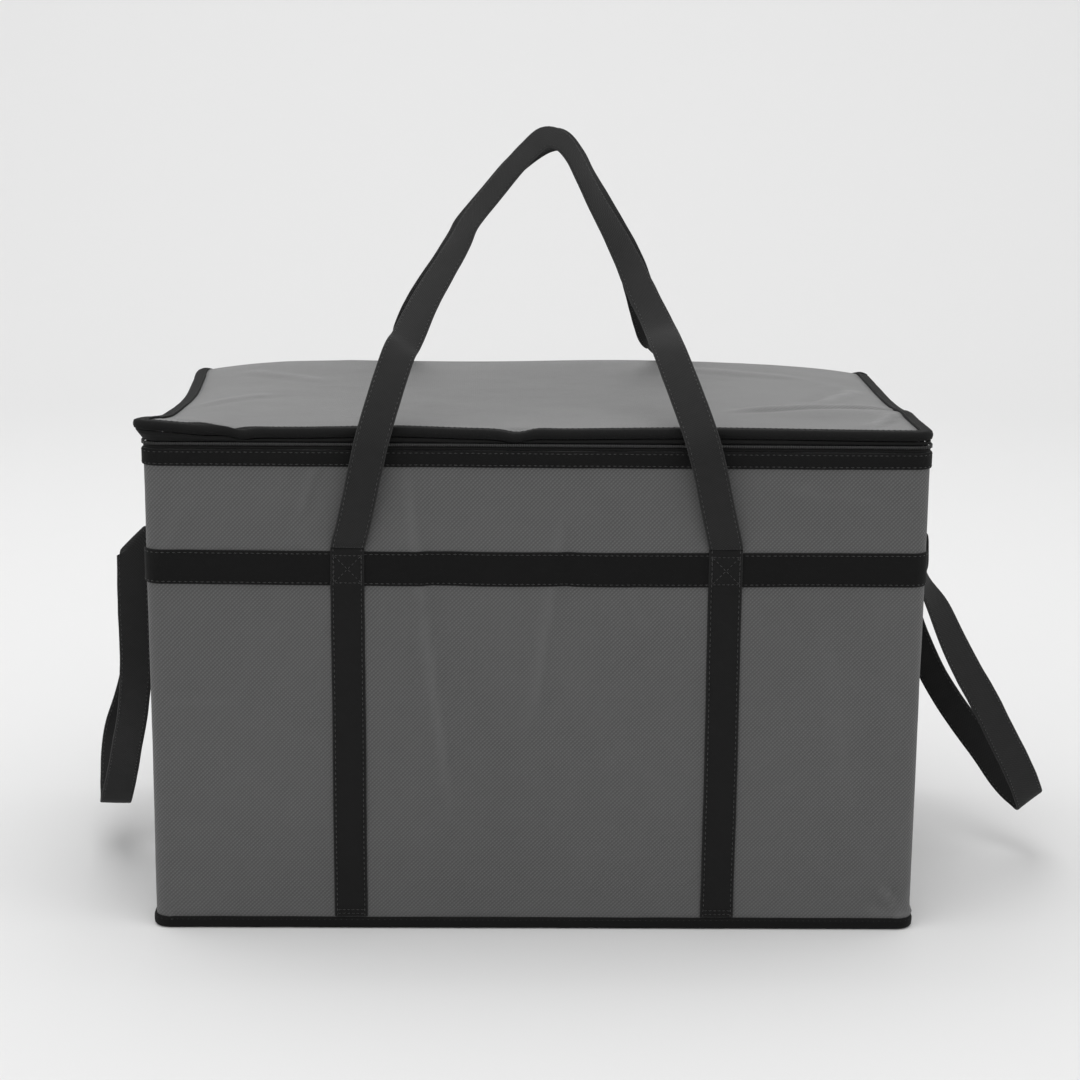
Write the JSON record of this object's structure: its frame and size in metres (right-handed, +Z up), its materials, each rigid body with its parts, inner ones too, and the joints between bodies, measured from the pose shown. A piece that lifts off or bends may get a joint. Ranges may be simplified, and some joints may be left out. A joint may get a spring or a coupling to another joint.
{
  "type": "insulated tote bag",
  "caption": "Insulated catering tote bag in grey padded cloth with a zipped flat lid, black bindings and straps, long carrying handles and side handles",
  "frame": {"origin": "middle of the base's underside, on the floor", "axes": "+X to the right along the wide front, +Y from the front to the back, +Z up"},
  "size_m": [0.799, 0.3854, 0.6044],
  "materials": {
    "wall_cloth": "matte",
    "lid_cloth": "matte",
    "base_cloth": "matte",
    "binding_tape": "matte",
    "strap_tape": "matte",
    "zip_tape": "matte",
    "zip_teeth": "satin"
  },
  "bodies": {
    "root": {"front_panel": "wall_cloth", "back_panel": "wall_cloth", "left_panel": "wall_cloth", "right_panel": "wall_cloth", "lid_panel": "lid_cloth", "base_panel": "base_cloth", "lid_binding": "binding_tape", "rim_band": "binding_tape", "waist_band": "binding_tape", "base_binding": "binding_tape", "front_strap_left": "strap_tape", "front_strap_right": "strap_tape", "back_strap_left": "strap_tape", "back_strap_right": "strap_tape", "front_handle": "strap_tape", "back_handle": "strap_tape", "left_handle": "strap_tape", "right_handle": "strap_tape", "zip_tape_lower": "zip_tape", "zip_tape_upper": "zip_tape", "zip_coil": "zip_teeth", "zip_slider": "zip_teeth"}
  },
  "joints": []
}
